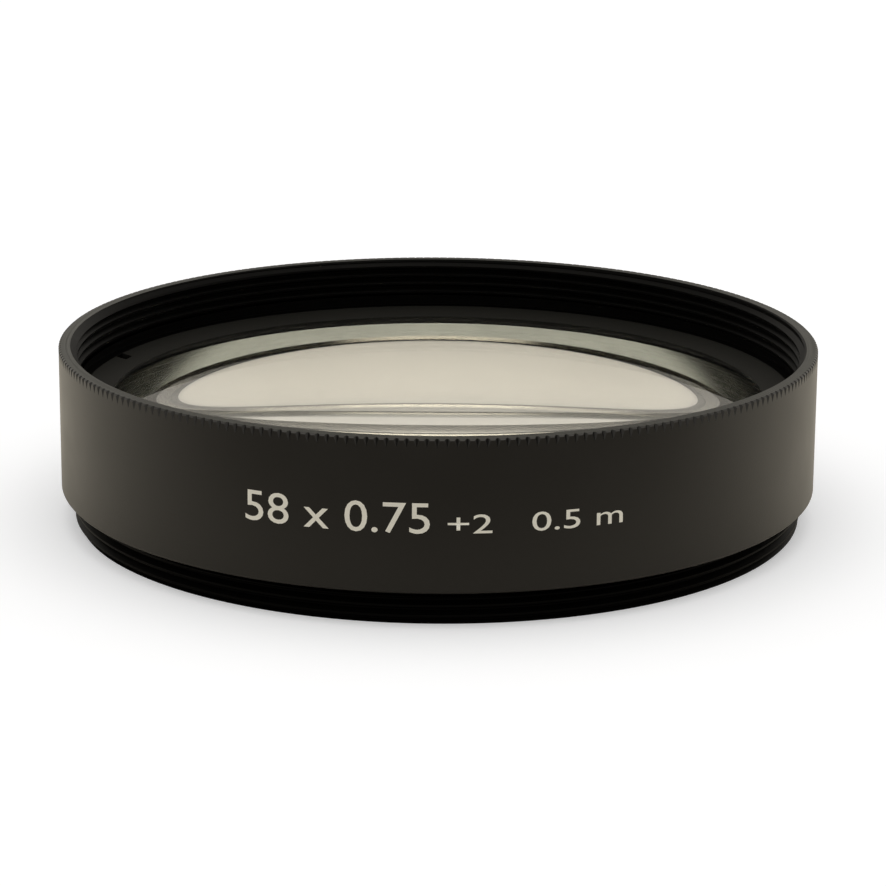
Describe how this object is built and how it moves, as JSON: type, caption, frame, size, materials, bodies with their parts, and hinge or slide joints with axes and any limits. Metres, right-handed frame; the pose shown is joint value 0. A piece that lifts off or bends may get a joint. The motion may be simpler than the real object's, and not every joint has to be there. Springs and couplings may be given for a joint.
{
  "type": "close-up lens",
  "caption": "Screw-in close-up lens: a cemented doublet held by a slotted ring in a black turned mount, with a front thread and a rear thread.",
  "frame": {"origin": "on the optical axis, in the plane of the rear face, on which the lens stands", "axes": "+Z along the optical axis, out of the front towards the subject; +X to the right as the picture is seen; +Y away from the viewer"},
  "size_m": [0.06, 0.06, 0.014],
  "materials": {
    "anodised_mount": "fine satin, black anodised",
    "anodised_ring": "matt, black anodised",
    "coated_crown_glass": "polished and coated",
    "coated_flint_glass": "polished and coated"
  },
  "bodies": {
    "root": {"mount": "anodised_mount", "retaining_ring": "anodised_ring", "front_element": "coated_crown_glass", "rear_element": "coated_flint_glass"}
  },
  "joints": []
}
